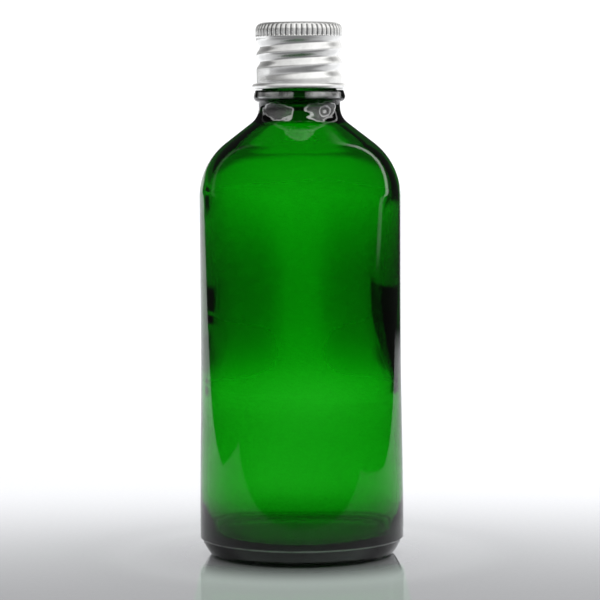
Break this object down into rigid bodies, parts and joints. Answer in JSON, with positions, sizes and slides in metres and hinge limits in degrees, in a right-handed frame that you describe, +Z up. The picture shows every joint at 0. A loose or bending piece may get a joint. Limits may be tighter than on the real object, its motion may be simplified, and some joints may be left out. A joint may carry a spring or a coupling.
{
  "type": "aftershave bottle",
  "caption": "Round-shouldered green glass bottle for aftershave, with a threaded aluminium screw cap, a foam liner and a plastic pouring ring in the neck.",
  "frame": {"origin": "centre of the bottle's foot ring, on the plane that it stands on", "axes": "+Z up the bottle's axis towards the cap, -Y towards the front; the cap's thread rises from -X to +X across the front"},
  "size_m": [0.045, 0.045, 0.1168],
  "materials": {
    "green_glass": "smooth transparent green glass",
    "natural_polythene": "milky natural polythene, semi-matt",
    "white_foam": "white expanded foam, matt",
    "brushed_aluminium": "satin, brushed round the cap"
  },
  "bodies": {
    "bottle": {"glass_bottle": "green_glass", "pour_insert": "natural_polythene"},
    "liner": {"cap_liner": "white_foam"},
    "cap": {"cap_shell": "brushed_aluminium"}
  },
  "joints": [
    {"name": "cap_lift", "type": "slide", "parent": "bottle", "child": "liner", "axis": [0, 0, 1], "range_m": [0, 0.00635]},
    {"name": "cap_turn", "type": "hinge", "parent": "liner", "child": "cap", "pos_m": [0, 0, 0.11], "axis": [0, 0, 1], "range_deg": [0, 720]}
  ],
  "couplings": [
    {"joint": "cap_lift", "follows": "cap_turn", "m_per_rad": 0.00050532}
  ]
}
